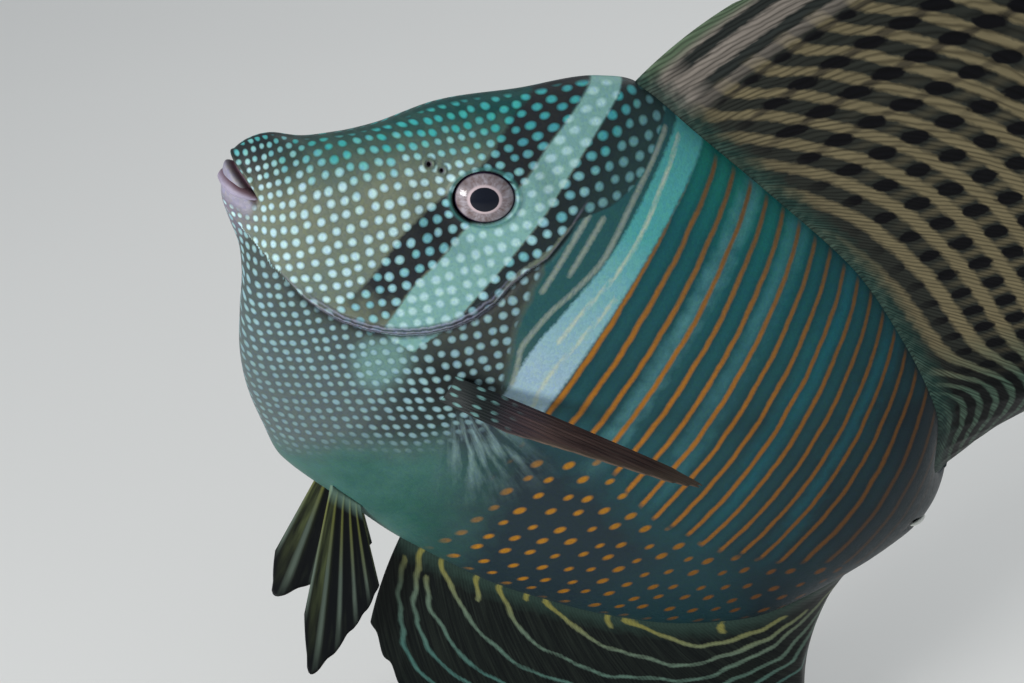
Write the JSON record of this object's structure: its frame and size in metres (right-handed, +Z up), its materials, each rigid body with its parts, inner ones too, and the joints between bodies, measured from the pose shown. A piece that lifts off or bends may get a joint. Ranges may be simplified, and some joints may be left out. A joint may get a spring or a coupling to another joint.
{
  "type": "sailfin tang",
  "caption": "Life-size still model of a sailfin tang with spread fins, nose raised, on a flat base with one short rod.",
  "frame": {"origin": "centre of the underside of the stand's base", "axes": "+Z up, the snout towards -X, the fish's left side towards -Y"},
  "size_m": [0.2868, 0.1274, 0.2951],
  "materials": {
    "skin_head": "satin painted skin, pale dots on grey green",
    "skin_body": "satin painted skin, dark blue green with fine orange lines",
    "lips": "satin, lavender pink",
    "eye": "clear gloss over a silver iris and a dark pupil",
    "fin_dorsal": "satin, tan bands and black spots on fine rays",
    "fin_anal": "satin, nearly black with thin pale curved lines",
    "fin_tail": "satin, dark with rows of pale spots",
    "fin_pectoral": "satin, brown purple with dark rays",
    "fin_pelvic": "satin, black membrane with pale yellow green rays",
    "spine_bone": "smooth pale blade",
    "stand_wood": "dark stained, satin varnish",
    "stand_metal": "brushed"
  },
  "bodies": {
    "root": {"head": "skin_head", "jaw_upper": "skin_head", "jaw_lower": "lips", "gill_cover_left": "skin_head", "gill_cover_right": "skin_head", "eye_left": "eye", "eye_right": "eye", "torso": "skin_body", "tail_stem": "skin_body", "tail_spine_left": "spine_bone", "tail_spine_right": "spine_bone", "dorsal_fin": "fin_dorsal", "anal_fin": "fin_anal", "tail_fin": "fin_tail", "pectoral_fin_left": "fin_pectoral", "pectoral_fin_right": "fin_pectoral", "pelvic_fin_left": "fin_pelvic", "pelvic_fin_right": "fin_pelvic", "stand_base": "stand_wood", "stand_rod": "stand_metal", "stand_ferrule": "stand_metal"}
  },
  "joints": []
}
